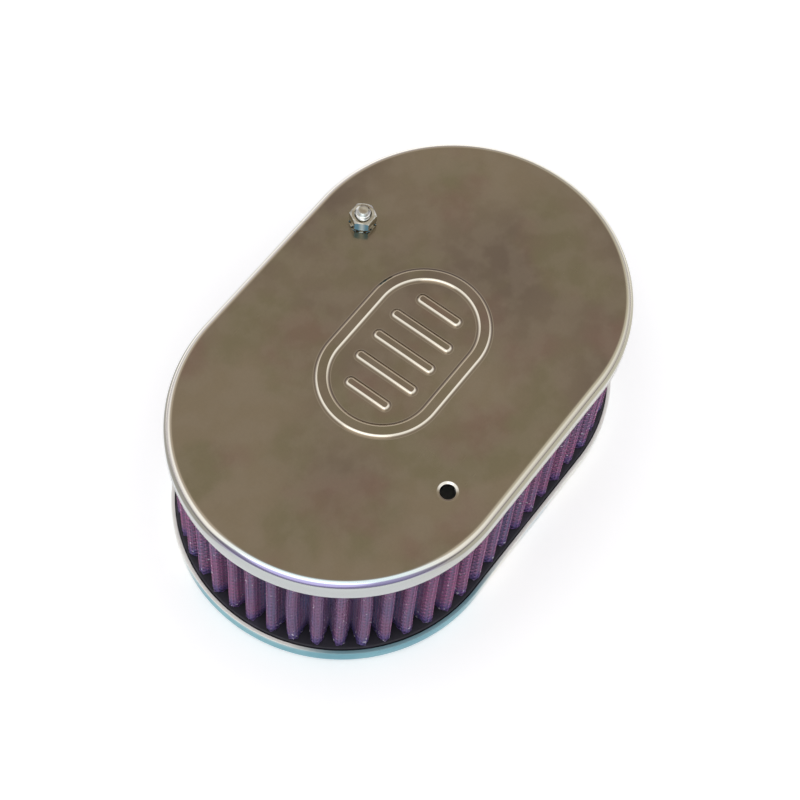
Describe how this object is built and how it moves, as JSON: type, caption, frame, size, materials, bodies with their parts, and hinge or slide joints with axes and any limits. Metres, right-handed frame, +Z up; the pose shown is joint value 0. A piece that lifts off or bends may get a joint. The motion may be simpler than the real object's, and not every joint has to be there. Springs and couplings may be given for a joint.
{
  "type": "carburettor air cleaner",
  "caption": "Oval carburettor air cleaner: a pressed metal lid and base plate holding a pleated cotton filter element, clamped by a nut on a stud.",
  "frame": {"origin": "centre of the base plate's underside", "axes": "+X along the oval, +Y across it, +Z up from the base plate to the lid"},
  "size_m": [0.176, 0.1142, 0.0713],
  "materials": {
    "bright_lid": "polished",
    "zinc_plate": "satin",
    "oiled_cotton": "matte",
    "end_cap_rubber": "matte",
    "zinc_fasteners": "gloss"
  },
  "bodies": {
    "housing": {"lid": "bright_lid", "base_plate": "zinc_plate", "pleated_media": "oiled_cotton", "top_seal": "end_cap_rubber", "bottom_seal": "end_cap_rubber", "stud": "zinc_fasteners", "clinch_nut_stud": "zinc_fasteners", "clinch_nut_open": "zinc_fasteners"},
    "washer": {"lock_washer": "zinc_fasteners"},
    "nut": {"lock_nut": "zinc_fasteners"}
  },
  "joints": [
    {"name": "washer_rise", "type": "slide", "parent": "housing", "child": "washer", "axis": [0, 0, 1], "range_m": [0, 0.0064]},
    {"name": "nut_turn", "type": "hinge", "parent": "washer", "child": "nut", "pos_m": [0.03085, 0.04005, 0.0646], "axis": [0, 0, 1], "range_deg": [0, 2880]}
  ],
  "couplings": [
    {"joint": "nut_turn", "follows": "washer_rise", "rad_per_m": 7854}
  ]
}
